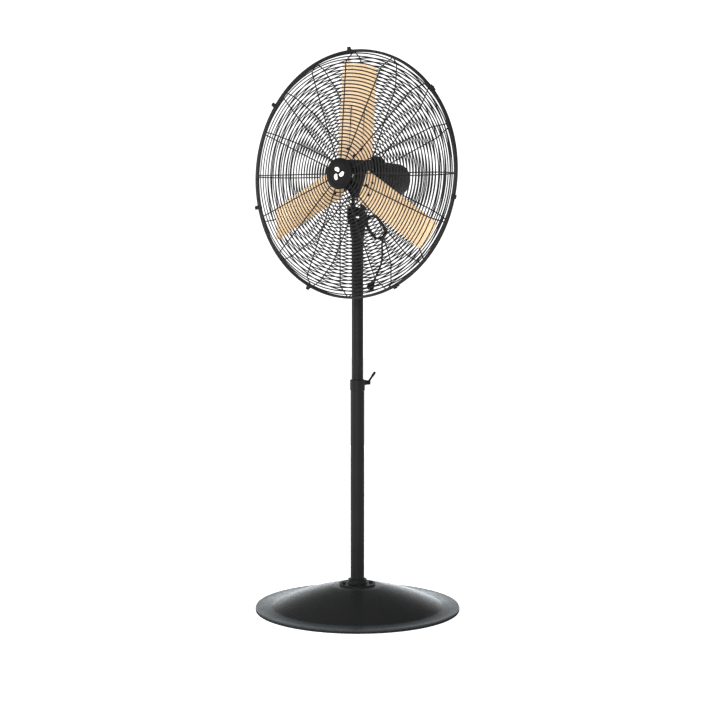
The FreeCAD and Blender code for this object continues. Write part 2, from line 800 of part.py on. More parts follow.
def blade_planform():
    """Paddle outline, square at the root and slanted at the tip."""
    corners = [
        (S.blade_root, -S.blade_lead), (S.blade_tip, -S.blade_lead),
        (S.blade_tip_trailing, S.blade_trail), (S.blade_root, S.blade_trail),
    ]
    body = padded(corners, 120, middle=True)

    def at_corner(edge):
        upright = abs(edge.Vertexes[0].Point.z - edge.Vertexes[-1].Point.z) > 100
        return upright

    return rounded(body, at_corner, S.blade_corner)


def blade(index):
    sheet = camber_shell(S.blade_camber_radius, S.blade_sheet, S.blade_tip + 20)
    piece = common(sheet, blade_planform())
    for x, y in RIVETS:
        piece = cut(piece, cylinder(RIVET_HOLE, 60, (x, y, -40)))
    piece.Placement = blade_place(index)
    return node(piece, "blade_%d" % (index + 1))


RIVETS = [(66.0, 0.0), (88.0, 24.0), (88.0, -24.0)]
RIVET_HOLE = 3.0


def spider_arm(index):
    """The spider's tongue behind one blade, cambered like the blade."""
    start = S.blade_camber_radius + S.blade_sheet
    turn_x = turn(Y_AXIS, 90)
    centre = -S.blade_camber_radius
    outer = cylinder(start + S.spider_sheet, 110, (0, 0, centre), turn_x)
    inner = cylinder(start, 110, (0, 0, centre), turn_x)
    tongue = padded([(18, -34), (102, -34), (108, -24), (108, 24), (102, 34), (18, 34)],
                    120, middle=True)
    arm = common(cut(outer, inner), tongue)
    for x, y in RIVETS:
        arm = cut(arm, cylinder(RIVET_HOLE, 60, (x, y, -40)))
    arm.Placement = blade_place(index)
    return arm


def hub_spider():
    """Three-cornered hub plate with its boss and the tongues that carry the blades."""
    corners = []
    for index in range(3):
        middle = math.radians(30 + 120 * index + plain(S.blade_angle))
        for offset in (-0.16, 0.16):
            angle = -(middle + offset)
            corners.append((S.spider_radius * math.cos(angle), S.spider_radius * math.sin(angle)))
    plate = on_fan(padded(corners[::-1], S.spider_sheet), S.spider_depth)
    boss = on_fan(cylinder(S.hub_radius, S.hub_length), S.hub_front)
    arms = [spider_arm(index) for index in range(3)]
    bore = on_fan(cylinder(S.shaft_radius, S.hub_length + 20), S.hub_front - 10)
    return node(cut(fuse(plate, boss, *arms), bore), "hub_spider")


def blade_rivets():
    """Domed rivets through each blade and its tongue."""
    rivets = []
    for index in range(3):
        for x, y in RIVETS:
            crest = math.sqrt(plain(S.blade_camber_radius) ** 2 - y * y)
            depth = crest - plain(S.blade_camber_radius)
            grip = plain(S.blade_sheet) + plain(S.spider_sheet) + 1.6
            lean = turn(X_AXIS, -math.degrees(math.asin(y / plain(S.blade_camber_radius))))
            shank = Part.makeCylinder(RIVET_HOLE - 0.02, grip, FreeCAD.Vector(0, 0, -0.8))
            head = Part.makeCylinder(plain(S.rivet_radius) + 1, 2.2, FreeCAD.Vector(0, 0, -2.6))
            shank_long = Part.makeCylinder(RIVET_HOLE - 0.02, 3.0, FreeCAD.Vector(0, 0, -2.6))
            shape = head.fuse(shank).fuse(shank_long).removeSplitter()
            spot = FreeCAD.Placement(FreeCAD.Vector(x, y, depth), lean)
            shape.Placement = blade_place(index).multiply(spot)
            rivets.append(shape)
    return node(feature(Part.makeCompound(rivets)), "blade_rivets")


def hub_nut():
    nut = on_fan(hexagon(12, 7), S.hub_front - 7)
    bore = on_fan(cylinder(S.shaft_radius, 20), S.hub_front - 12)
    return node(cut(nut, bore), "hub_nut")


# ---------------------------------------------------------------- cage

FRONT_PROFILE = [(40.0, -62.0), (376.0, -47.0), (412.5, -4.6)]
REAR_PROFILE = [(60.0, 86.0), (318.0, 74.0), (397.0, 33.0), (412.5, 4.6)]
FRONT_BENDS = [20.0]
REAR_BENDS = [80.0, 30.0]


def bent_wire(points, bends):
    """Straight runs joined by tangent arcs of the given radii."""
    edges = []
    start = points[0]
    for corner, following, radius in zip(points[1:-1], points[2:], bends):
        into = (corner - start).normalize()
        away = (following - corner).normalize()
        half = into.getAngle(away) / 2
        reach = radius * math.tan(half)
        first = corner - into * reach
        last = corner + away * reach
        towards = (away - into).normalize()
        centre = corner + towards * (radius / math.cos(half))
        middle = centre - towards * radius
        edges.append(Part.LineSegment(start, first).toShape())
        edges.append(Part.Arc(first, middle, last).toShape())
        start = last
    edges.append(Part.LineSegment(start, points[-1]).toShape())
    return Part.Wire(edges)


def round_sweep(wire, radius):
    """A round wire or tube along a path."""
    edge = wire.Edges[0]
    start = edge.valueAt(edge.FirstParameter)
    along = edge.tangentAt(edge.FirstParameter)
    circle = Part.Wire([Part.Circle(start, along, radius).toShape()])
    return wire.makePipeShell([circle], True, False, 2)


def profile_wire(profile, bends):
    return bent_wire([FreeCAD.Vector(radius, 0, depth) for radius, depth in profile], bends)


def profile_depth(wire, radius):
    """The depth at which a spoke's centre line passes a radius."""
    probe = Part.LineSegment(FreeCAD.Vector(radius, 0, -300), FreeCAD.Vector(radius, 0, 300))
    gap, pairs, info = wire.distToShape(probe.toShape())
    return pairs[0][0].z


def fan_spokes(profile, bends, offset):
    one = round_sweep(profile_wire(profile, bends), plain(S.spoke_wire))
    spokes = []
    for number in range(SPOKE_COUNT):
        copy = one.copy()
        angle = 360.0 / SPOKE_COUNT * number + offset
        copy.Placement = FreeCAD.Placement(vector(*fan_base(0)), around_fan(angle))
        spokes.append(copy)
    return feature(Part.makeCompound(spokes))


WIRE_WELD = 0.3


def square_ring(radius, depth):
    """One thin ring wire, its section squared off."""
    half = plain(S.ring_wire)
    low = FreeCAD.Vector(0, 0, depth - half)
    outer = Part.makeCylinder(radius + half, 2 * half, low)
    inner = Part.makeCylinder(radius - half, 2 * half, low)
    return outer.cut(inner)


def fan_rings(profile, bends, first, side):
    """Concentric wires resting on the spokes' outside: those of the face, then those of the edge."""
    path = profile_wire(profile, bends)
    stand_off = (plain(S.spoke_wire) + plain(S.ring_wire) - WIRE_WELD) * side
    face_radius = profile[1][0]
    face, edge = [], []
    radius = plain(first)
    last = plain(S.rim_radius) - 2 * plain(S.rim_wire) - 4
    while radius < last:
        ring = square_ring(radius, profile_depth(path, radius) + stand_off)
        (face if radius < face_radius else edge).append(ring)
        radius += plain(S.ring_pitch)
    placement = FreeCAD.Placement(vector(*fan_base(0)), FAN_TURN)
    return [feature(Part.makeCompound(rings), placement) for rings in (face, edge)]


def rim(edge_rings, side):
    """The thick wire of the rim, with the thin ones of the turned-over edge beside it."""
    wire = torus(S.rim_radius - S.rim_wire, S.rim_wire)
    return group([on_fan(wire, S.rim_spacing * side), edge_rings])


def front_grille():
    node(fan_spokes(FRONT_PROFILE, FRONT_BENDS, FRONT_SPOKE_TURN), "front_grille_spokes")
    face, edge = fan_rings(FRONT_PROFILE, FRONT_BENDS, S.front_ring_start, -1)
    node(face, "front_grille_rings")
    node(rim(edge, -1), "front_rim")


def rear_grille():
    node(fan_spokes(REAR_PROFILE, REAR_BENDS, REAR_SPOKE_TURN), "rear_grille_spokes")
    face, edge = fan_rings(REAR_PROFILE, REAR_BENDS, S.rear_ring_start, 1)
    node(face, "rear_grille_rings")
    node(rim(edge, 1), "rear_rim")


CLIP_WIDTH = 14.0
CLIP_SHEET = 1.5
CLIP_EAR = 9.0
CLIP_SCREW = 2.0
CLIP_SCREW_OUT = 5.4
CLIP_HEAD = 3.5


def clip_angles():
    return [FIRST_CLIP_ANGLE + 360.0 / CLIP_COUNT * number for number in range(CLIP_COUNT)]


def rim_clip(angle):
    """A bent strap over both rim wires, with an outward ear for its screw."""
    reach = plain(S.rim_spacing) + plain(S.rim_wire) + 0.2
    inner = plain(S.rim_radius) - 2 * plain(S.rim_wire) + 2.5
    outer = plain(S.rim_radius) + 0.3
    wall = CLIP_SHEET
    ear = outer + CLIP_EAR
    half = CLIP_WIDTH / 2
    front_leg = Part.makeBox(ear - inner, CLIP_WIDTH, wall, FreeCAD.Vector(inner, -half, -reach - wall))
    back_leg = Part.makeBox(outer - inner, CLIP_WIDTH, wall, FreeCAD.Vector(inner, -half, reach))
    bridge = Part.makeBox(wall, CLIP_WIDTH, 2 * reach + 2 * wall,
                          FreeCAD.Vector(outer, -half, -reach - wall))
    hole = Part.makeCylinder(CLIP_SCREW, 10, FreeCAD.Vector(outer + CLIP_SCREW_OUT, 0, -reach - 5))
    shape = front_leg.fuse([back_leg, bridge]).removeSplitter().cut(hole)
    shape.Placement = FreeCAD.Placement(vector(*fan_base(0)), around_fan(angle))
    return shape


def rim_clips():
    clips = [rim_clip(angle) for angle in clip_angles()]
    return node(feature(Part.makeCompound(clips)), "rim_clips")


def clip_screws():
    reach = plain(S.rim_spacing) + plain(S.rim_wire) + 0.2 + CLIP_SHEET
    spot = plain(S.rim_radius) + 0.3 + CLIP_SCREW_OUT
    screws = []
    for angle in clip_angles():
        shank = Part.makeCylinder(CLIP_SCREW - 0.02, 12, FreeCAD.Vector(spot, 0, -reach))
        head = Part.makeCylinder(CLIP_HEAD, 2.4, FreeCAD.Vector(spot, 0, -reach - 2.4))
        nut = Part.makeCylinder(CLIP_HEAD, 3.2, FreeCAD.Vector(spot, 0, -reach + CLIP_SHEET))
        shape = shank.fuse([head, nut]).removeSplitter()
        shape.Placement = FreeCAD.Placement(vector(*fan_base(0)), around_fan(angle))
        screws.append(shape)
    return node(feature(Part.makeCompound(screws)), "clip_screws")


def badge_disc():
    front = S.badge_depth
    edge = S.badge_radius
    corners = [(0, front - 3), (edge - 8, front - 1.5), (edge, front + 1.5),
               (edge, front + S.badge_thick), (edge - 3, front + S.badge_thick),
               (edge - 3, front + 3), (0, front + 3)]
    return node(on_fan(turned(corners)), "badge_disc")


def badge_back_plate():
    low = S.badge_depth + 12.5
    disc = on_fan(cylinder(S.badge_radius - 6, 2), low)
    post = on_fan(cylinder(5, 9.5), S.badge_depth + 3)
    return node(fuse(disc, post), "badge_back_plate")


def rear_grille_plate():
    outer = on_fan(cylinder(S.rear_plate_radius, S.rear_plate_thick), S.rear_plate_depth)
    inner = on_fan(cylinder(24, S.rear_plate_thick), S.rear_plate_depth)
    plate = cut(outer, inner)
    for place_ in guard_screw_places():
        hole = cylinder(GUARD_SCREW_RADIUS, 20)
        place(hole, (place_[0], S.rim_y + S.rear_plate_depth - 5, place_[1]), FAN_TURN)
        plate = cut(plate, hole)
    return node(plate, "rear_grille_plate")


GUARD_SCREW_CIRCLE = 36.0
GUARD_SCREW_RADIUS = 2.5


def guard_screw_places():
    return [(S.axis_x + GUARD_SCREW_CIRCLE * math.cos(math.radians(angle)),
             S.axis_height + GUARD_SCREW_CIRCLE * math.sin(math.radians(angle)))
            for angle in (45, 135, 225, 315)]


def guard_screws():
    screws = []
    for x, z in guard_screw_places():
        head = cylinder(4.5, 3)
        place(head, (x, S.rim_y + S.rear_plate_depth - 3, z), FAN_TURN)
        shank = cylinder(GUARD_SCREW_RADIUS, S.rear_plate_thick)
        place(shank, (x, S.rim_y + S.rear_plate_depth, z), FAN_TURN)
        screws.append(fuse(head, shank))
    return node(group(screws), "guard_screws")


# ---------------------------------------------------------------- cord

GLAND_X = 52.0
GLAND_Y = 32.0
GLAND_LOW = 1452.0
RELIEF_END = 1432.0
LEAD = [(52, 32, 1432), (52, 32, 1412), (57, 30, 1395), (68, 27, 1376), (77, 31, 1361)]
TAIL = [(91, 28, 1311), (86, 25, 1291), (88, 27, 1264), (87, 26, 1234), (80, 21, 1202),
        (64, 9, 1163)]
HANK_TOP = FreeCAD.Vector(62, 7, 1363)
HANK_FOOT = FreeCAD.Vector(78.5, 19, 1333)
HANK_ACROSS = FreeCAD.Vector(0.808, 0.589, 0)
HANK_TOP_RADIUS = 29.5
HANK_FOOT_RADIUS = 31.0
HANK_THICK = 29.0
HANK_ROUNDING = 0.35
BEND_SHARE = 0.45


def cord_path(points, name):
    """Straight runs joined by the largest arcs that the runs allow."""
    spots = [FreeCAD.Vector(*point) for point in points]
    bends = []
    for before, corner, after in zip(spots, spots[1:], spots[2:]):
        into = corner - before
        away = after - corner
        half = into.getAngle(away) / 2
        bends.append(BEND_SHARE * min(into.Length, away.Length) / math.tan(half))
    print(name, "bend radii:", ", ".join("%.0f" % bend for bend in bends))
    return bent_wire(spots, bends)


def cord_tube(points, name):
    path = cord_path(points, name)
    radius = plain(S.cord_radius)
    shape = round_sweep(path, radius)
    expected = math.pi * radius ** 2 * path.Length
    print(name, "length %.0f mm, volume ratio %.4f" % (path.Length, shape.Volume / expected))
    return node(feature(shape), name)


def strain_relief():
    """Gland nut under the motor with its tapered relief, in one moulding."""
    top = S.axis_height - S.motor_radius + 5
    nut = hexagon(11, 8, (GLAND_X, GLAND_Y, GLAND_LOW))
    neck = cylinder(8, top - GLAND_LOW - 2, (GLAND_X, GLAND_Y, GLAND_LOW))
    barrel = cylinder(S.motor_radius, 120, (S.axis_x, -20, S.axis_height), FAN_TURN)
    length = GLAND_LOW - RELIEF_END
    taper = cone(S.cord_radius + 0.8, 6.5, length, (GLAND_X, GLAND_Y, RELIEF_END))
    return node(cut(fuse(nut, neck, taper), barrel), "strain_relief")


def hank_placement():
    along = (HANK_FOOT - HANK_TOP).normalize()
    normal = along.cross(HANK_ACROSS).normalize()
    across = normal.cross(along).normalize()
    frame = FreeCAD.Rotation(along, across, normal, "XYZ")
    return FreeCAD.Placement(HANK_TOP, frame)


def cord_hank():
    """The tied hank's outer shape: two round ends, the lower one wider, and straight flanks."""
    length = (HANK_FOOT - HANK_TOP).Length
    lean = math.asin((HANK_FOOT_RADIUS - HANK_TOP_RADIUS) / length)
    small, large = HANK_TOP_RADIUS, HANK_FOOT_RADIUS
    side_x, side_y = math.sin(lean), math.cos(lean)
    corners = [
        (-small * side_x, small * side_y), (-small * side_x, -small * side_y),
        (length - large * side_x, -large * side_y), (length - large * side_x, large * side_y),
    ]
    first = FreeCAD.Vector(corners[0][0], corners[0][1], 0)
    second = FreeCAD.Vector(corners[1][0], corners[1][1], 0)
    third = FreeCAD.Vector(corners[2][0], corners[2][1], 0)
    fourth = FreeCAD.Vector(corners[3][0], corners[3][1], 0)
    edges = [
        Part.Arc(first, FreeCAD.Vector(-small, 0, 0), second).toShape(),
        Part.LineSegment(second, third).toShape(),
        Part.Arc(third, FreeCAD.Vector(length + large, 0, 0), fourth).toShape(),
        Part.LineSegment(fourth, first).toShape(),
    ]
    face = Part.Face(Part.Wire(edges))
    face.translate(FreeCAD.Vector(0, 0, -HANK_THICK / 2))
    solid = face.extrude(FreeCAD.Vector(0, 0, HANK_THICK))
    solid = solid.makeFillet(HANK_THICK * HANK_ROUNDING, solid.Edges)
    return node(feature(solid, hank_placement()), "cord_hank")


TIE_PLACE = 0.88
TIE_WIDTH = 5.0
TIE_DEPTH = 20.0
TIE_SHEET = 1.2


def cord_tie():
    """Twist tie round the gathered strands on the hank's side next to the pole."""
    length = (HANK_FOOT - HANK_TOP).Length
    start = length * TIE_PLACE
    edge = HANK_FOOT_RADIUS + 0.5
    high = HANK_THICK + 2
    band = Part.makeBox(TIE_WIDTH, TIE_DEPTH, high, FreeCAD.Vector(start, -edge, -high / 2))
    hollow = Part.makeBox(TIE_WIDTH, TIE_DEPTH - 2 * TIE_SHEET, high - 2 * TIE_SHEET,
                          FreeCAD.Vector(start, TIE_SHEET - edge, TIE_SHEET - high / 2))
    return node(feature(band.cut(hollow), hank_placement()), "cord_tie")


PLUG_LENGTH = 36.0


def plug_placement():
    before = FreeCAD.Vector(*TAIL[-2])
    end = FreeCAD.Vector(*TAIL[-1])
    along = (end - before).normalize()
    across = FreeCAD.Vector(0.81, 0.59, 0)
    normal = along.cross(across).normalize()
    across = normal.cross(along).normalize()
    return FreeCAD.Placement(end, FreeCAD.Rotation(across, normal, along, "XYZ"))


def plug_body():
    """Moulded plug: a tapered neck and a wider grip, its +Z towards the pins."""
    neck = Part.makeCone(5.5, 9, 14)
    grip = Part.makeBox(26, 18, PLUG_LENGTH - 12, FreeCAD.Vector(-13, -9, 12))
    grip = grip.makeFillet(4, grip.Edges)
    return node(feature(neck.fuse(grip).removeSplitter(), plug_placement()), "plug_body")


def plug_pins():
    """Two flat blades and a round earth pin."""
    flats = [Part.makeBox(1.6, 6.4, 17, FreeCAD.Vector(side * 6.3 - 0.8, -6.0, PLUG_LENGTH))
             for side in (1, -1)]
    earth = Part.makeCylinder(2.4, 19, FreeCAD.Vector(0, 5.0, PLUG_LENGTH))
    return node(feature(Part.makeCompound(flats + [earth]), plug_placement()), "plug_pins")


# ---------------------------------------------------------------- assembly

def build_stand():
    base_pan()
    base_edge_trim()
    base_ballast()
    base_backing_plate()
    base_collar()
    collar_set_screw()
    collar_bolts()
    lower_tube()
    clamp_bushing()
    clamp_collar()


def build_pole_head():
    upper_tube()
    upper_tube_guide()
    lock_screw()
    lock_handle()
    pole_head()
    swivel_screw()
    tilt_bolt()
    tilt_wing_nut()


def build_motor():
    tilt_bracket()
    motor_foot()
    mount_bolts()
    motor_housing()
    motor_front_shield()
    motor_rear_shield()
    motor_rear_cover()
    motor_bearings()
    stator_core()
    stator_windings()
    terminal_box()
    run_capacitor()
    speed_switch()
    speed_knob()


def build_rotor():
    rotor_shaft()
    rotor_core()
    hub_spider()
    for index in range(3):
        blade(index)
    blade_rivets()
    hub_nut()


def build_cage():
    front_grille()
    rear_grille()
    rim_clips()
    clip_screws()
    badge_disc()
    badge_back_plate()
    rear_grille_plate()
    guard_screws()


def build_cord():
    strain_relief()
    cord_tube(LEAD, "cord_lead")
    cord_hank()
    cord_tie()
    cord_tube(TAIL, "cord_tail")
    plug_body()
    plug_pins()


def export_nodes():
    doc.recompute()
    for thing in doc.Objects:
        if "Invalid" in thing.State or "Error" in thing.State:
            raise RuntimeError("%s (%s) did not rebuild: %s" % (thing.Name, thing.Label, thing.State))
    for thing in NODES:
        if thing.Shape.isNull() or not thing.Shape.isValid() or not thing.Shape.Solids:
            raise RuntimeError("%s has no valid solid" % thing.Label)
    os.makedirs("parts", exist_ok=True)
    for thing in NODES:
        thing.Shape.exportStep("parts/%s.step" % thing.Label)
    print(len(NODES), "parts written")


build_stand()
build_pole_head()
build_motor()
build_rotor()
build_cage()
build_cord()
export_nodes()
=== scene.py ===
import json
import math

import bpy
import numpy as np
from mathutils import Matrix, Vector


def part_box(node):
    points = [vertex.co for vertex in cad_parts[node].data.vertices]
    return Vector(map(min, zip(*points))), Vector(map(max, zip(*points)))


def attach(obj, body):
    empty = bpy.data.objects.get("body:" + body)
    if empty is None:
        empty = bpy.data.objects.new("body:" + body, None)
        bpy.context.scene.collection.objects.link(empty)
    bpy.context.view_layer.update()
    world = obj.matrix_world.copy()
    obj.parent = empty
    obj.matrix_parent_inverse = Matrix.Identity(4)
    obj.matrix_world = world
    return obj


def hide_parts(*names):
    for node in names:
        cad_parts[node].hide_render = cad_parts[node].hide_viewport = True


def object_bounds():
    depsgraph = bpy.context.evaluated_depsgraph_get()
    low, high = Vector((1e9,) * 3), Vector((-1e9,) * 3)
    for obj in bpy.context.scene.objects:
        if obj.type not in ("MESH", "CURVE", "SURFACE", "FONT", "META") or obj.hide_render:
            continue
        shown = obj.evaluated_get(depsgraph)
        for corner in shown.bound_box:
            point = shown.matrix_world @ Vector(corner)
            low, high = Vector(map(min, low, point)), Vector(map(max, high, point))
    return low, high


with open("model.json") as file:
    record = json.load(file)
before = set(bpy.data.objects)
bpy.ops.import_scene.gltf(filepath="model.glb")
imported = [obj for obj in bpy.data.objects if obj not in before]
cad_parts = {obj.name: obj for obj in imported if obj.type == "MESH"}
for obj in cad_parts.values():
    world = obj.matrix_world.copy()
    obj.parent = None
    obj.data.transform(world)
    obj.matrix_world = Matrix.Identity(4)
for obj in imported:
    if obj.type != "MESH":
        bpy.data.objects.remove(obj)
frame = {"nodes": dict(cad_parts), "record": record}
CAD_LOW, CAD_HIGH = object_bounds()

NODES = frame["nodes"]
BODY_OF = {n: b for b, names in frame["record"]["behaviour"]["bodies"].items() for n in names}
SLOT_OF = {part["node"]: part["material_slot"] for part in frame["record"]["subparts"]}


# ---------------------------------------------------------------- camera

# The camera's level directions: to its right, and straight ahead.
SIDE = Vector((0.808, 0.589, 0.0))
AHEAD = Vector((-0.589, 0.808, 0.0))
SENSOR_MM = 36.0
LENS_MM = 68.9
EYE_ASIDE = -0.0175
EYE_BACK = 4.75
EYE_HEIGHT = 1.138
DIP = math.radians(2.75)

eye = bpy.data.cameras.new("photo_camera")
eye.sensor_width = SENSOR_MM
eye.lens = LENS_MM
camera = bpy.data.objects.new("photo_camera", eye)
bpy.context.scene.collection.objects.link(camera)
camera.location = SIDE * EYE_ASIDE - AHEAD * EYE_BACK + Vector((0.0, 0.0, EYE_HEIGHT))
look = AHEAD * math.cos(DIP) - Vector((0.0, 0.0, math.sin(DIP)))
camera.rotation_euler = look.to_track_quat("-Z", "Y").to_euler()
bpy.context.scene.camera = camera


# ---------------------------------------------------------------- materials

# The part of a pattern's values that is spread over the wanted range. Values beyond it are clamped.
PATTERN_LOW = 0.3
PATTERN_HIGH = 0.7

# Sockets of the colour mix node, whose names repeat.
MIX_FACTOR = 0
MIX_FIRST = 6
MIX_SECOND = 7
MIX_RESULT = 2


class Paint:
    """A node material being put together."""

    def __init__(self, name):
        self.material = bpy.data.materials.new(name)
        self.material.use_nodes = True
        self.tree = self.material.node_tree
        self.shader = self.tree.nodes["Principled BSDF"]
        self.place = self.add("ShaderNodeTexCoord").outputs["Object"]

    def add(self, kind, **settings):
        made = self.tree.nodes.new(kind)
        for key, value in settings.items():
            setattr(made, key, value)
        return made

    def join(self, start, end):
        self.tree.links.new(start, end)

    def stretched(self, scale):
        mapping = self.add("ShaderNodeMapping")
        mapping.inputs["Scale"].default_value = scale
        self.join(self.place, mapping.inputs["Vector"])
        return mapping.outputs["Vector"]

    def noise(self, scale, detail=4.0, stretch=(1.0, 1.0, 1.0), roughness=0.55):
        made = self.add("ShaderNodeTexNoise")
        made.inputs["Scale"].default_value = scale
        made.inputs["Detail"].default_value = detail
        made.inputs["Roughness"].default_value = roughness
        self.join(self.stretched(stretch), made.inputs["Vector"])
        return made.outputs["Fac"]

    def cells(self, scale):
        made = self.add("ShaderNodeTexVoronoi")
        made.inputs["Scale"].default_value = scale
        self.join(self.place, made.inputs["Vector"])
        return made.outputs["Distance"]

    def bands(self, scale, direction, distortion=0.0):
        made = self.add("ShaderNodeTexWave", bands_direction=direction)
        made.inputs["Scale"].default_value = scale
        made.inputs["Distortion"].default_value = distortion
        self.join(self.place, made.inputs["Vector"])
        return made.outputs["Fac"]

    def spread(self, value, low, high):
        made = self.add("ShaderNodeMapRange")
        made.inputs["From Min"].default_value = PATTERN_LOW
        made.inputs["From Max"].default_value = PATTERN_HIGH
        made.inputs["To Min"].default_value = low
        made.inputs["To Max"].default_value = high
        self.join(value, made.inputs["Value"])
        return made.outputs["Result"]

    def color(self, value, low, high):
        ramp = self.add("ShaderNodeValToRGB")
        ramp.color_ramp.elements[0].position = PATTERN_LOW
        ramp.color_ramp.elements[1].position = PATTERN_HIGH
        ramp.color_ramp.elements[0].color = (*low, 1.0)
        ramp.color_ramp.elements[1].color = (*high, 1.0)
        self.join(value, ramp.inputs["Fac"])
        self.join(ramp.outputs["Color"], self.shader.inputs["Base Color"])

    def rough(self, value, low, high):
        self.join(self.spread(value, low, high), self.shader.inputs["Roughness"])

    def bump(self, *layers):
        """Layers are (height value, strength, depth in metres), the coarsest first."""
        before = None
        for height, strength, depth in layers:
            made = self.add("ShaderNodeBump")
            made.inputs["Strength"].default_value = strength
            made.inputs["Distance"].default_value = depth
            self.join(height, made.inputs["Height"])
            if before is not None:
                self.join(before, made.inputs["Normal"])
            before = made.outputs["Normal"]
        self.join(before, self.shader.inputs["Normal"])

    def set(self, **values):
        for key, value in values.items():
            self.shader.inputs[key.replace("_", " ")].default_value = value
        return self.material


def powder_coat(name, low, high, gloss, peel):
    paint = Paint(name)
    paint.color(paint.noise(7.0), low, high)
    paint.rough(paint.noise(38.0, 6.0), gloss, gloss + 0.14)
    paint.bump((paint.noise(420.0, 2.0), peel, 0.0004), (paint.cells(1500.0), peel * 0.5, 0.0001))
    return paint.set(Specular_IOR_Level=0.07)


def lacquer(name):
    paint = Paint(name)
    paint.color(paint.noise(16.0, 5.0, (1.0, 3.0, 1.0)), (0.74, 0.515, 0.295), (0.81, 0.575, 0.34))
    paint.rough(paint.noise(60.0, 5.0), 0.36, 0.52)
    paint.bump((paint.noise(240.0, 3.0), 0.12, 0.0003), (paint.noise(1400.0, 2.0), 0.10, 0.0001))
    return paint.set(Coat_Weight=0.2, Coat_Roughness=0.3)


def plated(name, low, high, grain):
    paint = Paint(name)
    paint.color(paint.noise(120.0, 5.0), low, high)
    paint.rough(paint.noise(700.0, 4.0, grain), 0.24, 0.46)
    paint.bump((paint.noise(900.0, 3.0, grain), 0.18, 0.0001))
    return paint.set(Metallic=1.0)


def casting(name):
    paint = Paint(name)
    paint.color(paint.noise(60.0, 8.0), (0.035, 0.034, 0.033), (0.10, 0.095, 0.09))
    paint.rough(paint.noise(90.0), 0.62, 0.85)
    paint.bump((paint.noise(180.0, 8.0), 0.5, 0.001), (paint.cells(900.0), 0.3, 0.0003))
    return paint.set(Metallic=0.5)


def moulded(name, low, high, gloss, grain):
    paint = Paint(name)
    paint.color(paint.noise(45.0), low, high)
    paint.rough(paint.noise(150.0, 5.0), gloss, gloss + 0.16)
    paint.bump((paint.cells(grain), 0.22, 0.0002), (paint.noise(grain * 1.7, 2.0), 0.12, 0.0001))
    return paint.set(Specular_IOR_Level=0.04)


def layered(name, low, high, pitch, direction):
    paint = Paint(name)
    stripes = paint.bands(pitch, direction, 0.4)
    paint.color(stripes, low, high)
    paint.rough(paint.noise(300.0), 0.35, 0.6)
    paint.bump((stripes, 0.6, 0.0004))
    return paint.set(Metallic=0.8)


def printed(name):
    paint = Paint(name)
    paint.color(paint.noise(300.0, 6.0), (0.80, 0.80, 0.79), (0.92, 0.92, 0.91))
    paint.rough(paint.noise(500.0), 0.42, 0.6)
    paint.bump((paint.noise(2200.0, 2.0), 0.1, 0.0001))
    return paint.material


# Distances from the base's centre between which the painted reflection on the flange sets in.
PAINTED_REFLECTION_STARTS = 0.302
PAINTED_REFLECTION_FULL = 0.309
PAN_BLACK = (0.016, 0.0162, 0.0164, 1.0)
# Bluish grey painted into the flange's colour: a painted reflection of the surroundings.
PAN_PAINTED_REFLECTION = (0.036, 0.045, 0.050, 1.0)


def pan_coat(name):
    """The base's coat: near black on the dome, with a bluish painted reflection in the colour of the flat
    flange.
    """
    paint = Paint(name)
    reach = paint.add("ShaderNodeVectorMath", operation="LENGTH")
    paint.join(paint.stretched((1.0, 1.0, 0.0)), reach.inputs[0])
    reflection_mask = paint.add("ShaderNodeMapRange")
    reflection_mask.inputs["From Min"].default_value = PAINTED_REFLECTION_STARTS
    reflection_mask.inputs["From Max"].default_value = PAINTED_REFLECTION_FULL
    reflection_mask.inputs["To Min"].default_value = 0.0
    reflection_mask.inputs["To Max"].default_value = 1.0
    paint.join(reach.outputs["Value"], reflection_mask.inputs["Value"])
    # The painted reflection, made patchy by noise, is mixed into the base colour.
    patchy_reflection = paint.add("ShaderNodeMath", operation="MULTIPLY")
    paint.join(reflection_mask.outputs["Result"], patchy_reflection.inputs[0])
    paint.join(paint.spread(paint.noise(55.0, 6.0), 0.6, 1.0), patchy_reflection.inputs[1])
    mix = paint.add("ShaderNodeMix", data_type="RGBA")
    mix.inputs[MIX_FIRST].default_value = PAN_BLACK
    mix.inputs[MIX_SECOND].default_value = PAN_PAINTED_REFLECTION
    paint.join(patchy_reflection.outputs["Value"], mix.inputs[MIX_FACTOR])
    paint.join(mix.outputs[MIX_RESULT], paint.shader.inputs["Base Color"])
    paint.rough(paint.noise(38.0, 6.0), 0.24, 0.34)
    paint.bump((paint.noise(420.0, 2.0), 0.14, 0.0004), (paint.cells(1500.0), 0.07, 0.0001))
    return paint.set(Specular_IOR_Level=0.06, Sheen_Weight=0.5, Sheen_Roughness=0.2,
                     Sheen_Tint=(0.80, 0.92, 1.0, 1.0))


